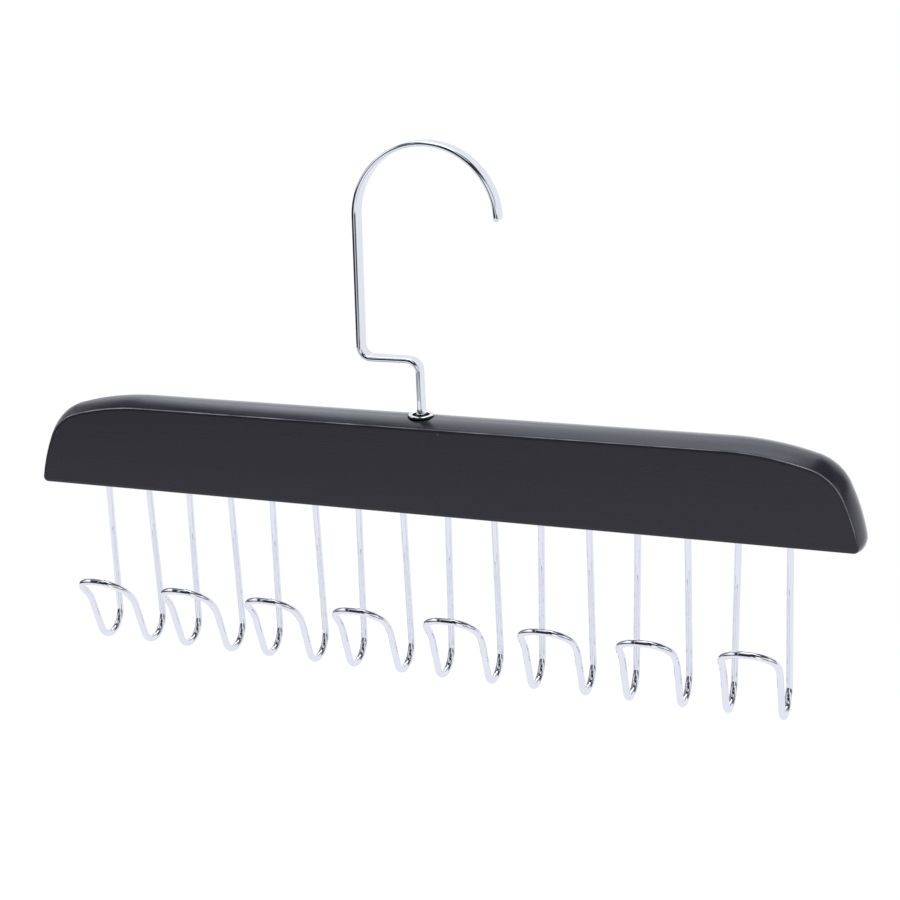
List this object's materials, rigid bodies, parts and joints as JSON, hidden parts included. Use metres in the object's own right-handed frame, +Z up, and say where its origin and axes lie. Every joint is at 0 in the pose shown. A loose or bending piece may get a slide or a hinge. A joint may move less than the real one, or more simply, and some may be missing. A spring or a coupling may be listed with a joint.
{
  "type": "belt hanger",
  "caption": "Black wooden bar with a row of J-shaped chromed wire hooks under it and a swivelling flat steel hook above, for keeping belts on a closet rod.",
  "frame": {"origin": "the rod seat: the highest point inside the arch of the swivel hook, where the hanger hangs on a rod", "axes": "+X along the bar towards the side that the hook opens to, -Y towards the front that the belt hooks bend to, +Z up along the swivel axis"},
  "size_m": [0.3578, 0.0446, 0.2216],
  "materials": {
    "wooden_bar": "satin black lacquer on hardwood",
    "swivel_hook": "polished chrome plating",
    "top_ferrule": "polished chrome plating",
    "thrust_washer": "zinc plated steel",
    "lock_nut": "zinc plated steel",
    "lock_nut_insert": "natural nylon",
    "belt_hook_1": "polished chrome plating",
    "belt_hook_2": "polished chrome plating",
    "belt_hook_3": "polished chrome plating",
    "belt_hook_4": "polished chrome plating",
    "belt_hook_5": "polished chrome plating",
    "belt_hook_6": "polished chrome plating",
    "belt_hook_7": "polished chrome plating",
    "belt_hook_8": "polished chrome plating"
  },
  "bodies": {
    "hook": {"swivel_hook": "swivel_hook", "thrust_washer": "thrust_washer", "lock_nut": "lock_nut", "lock_nut_insert": "lock_nut_insert"},
    "bar": {"wooden_bar": "wooden_bar", "top_ferrule": "top_ferrule", "belt_hook_1": "belt_hook_1", "belt_hook_2": "belt_hook_2", "belt_hook_3": "belt_hook_3", "belt_hook_4": "belt_hook_4", "belt_hook_5": "belt_hook_5", "belt_hook_6": "belt_hook_6", "belt_hook_7": "belt_hook_7", "belt_hook_8": "belt_hook_8"}
  },
  "joints": [
    {"name": "hook_swivel", "type": "hinge", "parent": "hook", "child": "bar", "pos_m": [-0.0061, 0, -0.10915], "axis": [0, 0, 1], "continuous": true}
  ]
}
